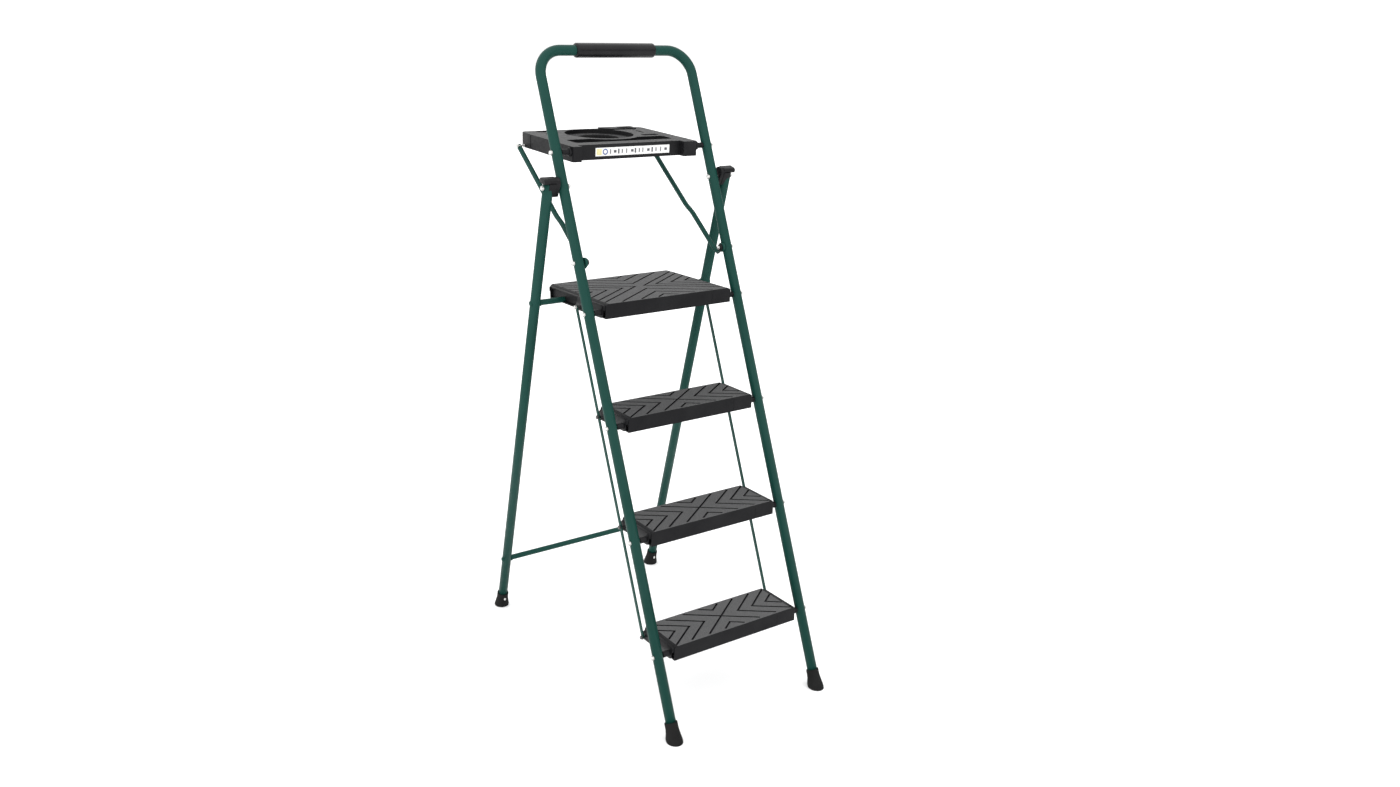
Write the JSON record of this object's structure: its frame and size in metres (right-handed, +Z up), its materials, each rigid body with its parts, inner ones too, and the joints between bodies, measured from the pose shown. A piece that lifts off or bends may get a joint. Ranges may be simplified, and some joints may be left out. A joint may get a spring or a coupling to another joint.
{
  "type": "step stool",
  "caption": "Folding step ladder with a green tube frame, wide ribbed treads, an upper hand grip and a moulded tool tray.",
  "frame": {"origin": "on the floor under the middle of the open ladder, the bottom centre of its bounding box", "axes": "+X to the right seen from the front, +Y to the rear, +Z up"},
  "size_m": [0.519, 0.846, 1.4724],
  "materials": {
    "green_paint": "semi-gloss paint",
    "black_plastic": "fine texture",
    "tread_plastic": "textured",
    "black_steel": "satin paint",
    "rubber": "matt",
    "grip_foam": "matt foam",
    "zinc_steel": "zinc plated"
  },
  "bodies": {
    "frame": {"front_foot_left": "rubber", "front_foot_right": "rubber", "front_frame_tube": "green_paint", "hand_grip": "grip_foam", "hinge_bolt_left": "zinc_steel", "hinge_bolt_right": "zinc_steel", "rod_cap_nut_left": "black_plastic", "rod_cap_nut_right": "black_plastic", "step_bolt_1_left": "zinc_steel", "step_bolt_1_right": "zinc_steel", "step_bolt_2_left": "zinc_steel", "step_bolt_2_right": "zinc_steel", "step_bolt_3_left": "zinc_steel", "step_bolt_3_right": "zinc_steel", "step_bolt_4_left": "zinc_steel", "step_bolt_4_right": "zinc_steel", "tray_bolt_left": "zinc_steel", "tray_bolt_right": "zinc_steel", "tray_rod_bolt_left": "zinc_steel", "tray_rod_bolt_right": "zinc_steel", "tray_spacer_left": "black_plastic", "tray_spacer_right": "black_plastic"},
    "rear_frame": {"crossbar_lower": "green_paint", "crossbar_upper": "green_paint", "hinge_block_left": "black_plastic", "hinge_block_right": "black_plastic", "rear_foot_left": "rubber", "rear_foot_right": "rubber", "rear_leg_left": "green_paint", "rear_leg_right": "green_paint"},
    "step_1": {"link_rivet_1_left": "zinc_steel", "link_rivet_1_right": "zinc_steel", "step_pan_1": "black_steel", "tread_1": "tread_plastic"},
    "step_2": {"link_rivet_2_left": "zinc_steel", "link_rivet_2_right": "zinc_steel", "step_pan_2": "black_steel", "tread_2": "tread_plastic"},
    "step_3": {"link_rivet_3_left": "zinc_steel", "link_rivet_3_right": "zinc_steel", "step_pan_3": "black_steel", "tread_3": "tread_plastic"},
    "step_4": {"crossbar_clip": "black_plastic", "link_rivet_4_left": "zinc_steel", "link_rivet_4_right": "zinc_steel", "step_pan_4": "black_steel", "tread_4": "tread_plastic"},
    "link_left": {"link_bar_left": "green_paint"},
    "link_right": {"link_bar_right": "green_paint"},
    "tray": {"tool_tray": "black_plastic"},
    "tray_rod_left": {"tray_rod_left": "green_paint", "tray_rod_pin_left": "zinc_steel"},
    "tray_rod_right": {"tray_rod_pin_right": "zinc_steel", "tray_rod_right": "green_paint"}
  },
  "joints": [
    {"name": "rear_frame_fold", "type": "hinge", "parent": "frame", "child": "rear_frame", "pos_m": [0, 0.05065, 1.167], "axis": [-1, 0, 0], "range_deg": [0, 32.96]},
    {"name": "step_1_fold", "type": "hinge", "parent": "frame", "child": "step_1", "pos_m": [0, -0.33276, 0.1785], "axis": [1, 0, 0], "range_deg": [0, 65.3]},
    {"name": "step_2_fold", "type": "hinge", "parent": "frame", "child": "step_2", "pos_m": [0, -0.23967, 0.4185], "axis": [1, 0, 0], "range_deg": [0, 65.3]},
    {"name": "step_3_fold", "type": "hinge", "parent": "frame", "child": "step_3", "pos_m": [0, -0.14658, 0.6585], "axis": [1, 0, 0], "range_deg": [0, 65.3]},
    {"name": "step_4_fold", "type": "hinge", "parent": "frame", "child": "step_4", "pos_m": [0, -0.0535, 0.8985], "axis": [1, 0, 0], "range_deg": [0, 65.3]},
    {"name": "link_left_swing", "type": "hinge", "parent": "step_4", "child": "link_left", "pos_m": [0, 0.0465, 0.8925], "axis": [1, 0, 0], "range_deg": [-65.3, 0]},
    {"name": "link_right_swing", "type": "hinge", "parent": "step_4", "child": "link_right", "pos_m": [0, 0.0465, 0.8925], "axis": [1, 0, 0], "range_deg": [-65.3, 0]},
    {"name": "tray_fold", "type": "hinge", "parent": "frame", "child": "tray", "pos_m": [0, 0.07877, 1.2395], "axis": [1, 0, 0], "range_deg": [0, 57]},
    {"name": "tray_rod_left_swing", "type": "hinge", "parent": "frame", "child": "tray_rod_left", "pos_m": [0, -0.0118, 1.006], "axis": [1, 0, 0], "range_deg": [0, 27.28]},
    {"name": "tray_rod_right_swing", "type": "hinge", "parent": "frame", "child": "tray_rod_right", "pos_m": [0, -0.0118, 1.006], "axis": [1, 0, 0], "range_deg": [0, 27.28]}
  ],
  "couplings": [
    {"joint": "step_1_fold", "follows": "rear_frame_fold", "ratio": 1.9814},
    {"joint": "step_2_fold", "follows": "rear_frame_fold", "ratio": 1.9814},
    {"joint": "step_3_fold", "follows": "rear_frame_fold", "ratio": 1.9814},
    {"joint": "step_4_fold", "follows": "rear_frame_fold", "ratio": 1.9814},
    {"joint": "link_left_swing", "follows": "rear_frame_fold", "ratio": -1.9814},
    {"joint": "link_right_swing", "follows": "rear_frame_fold", "ratio": -1.9814},
    {"joint": "tray_rod_left_swing", "follows": "tray_fold", "ratio": 0.47861},
    {"joint": "tray_rod_right_swing", "follows": "tray_fold", "ratio": 0.47861}
  ]
}
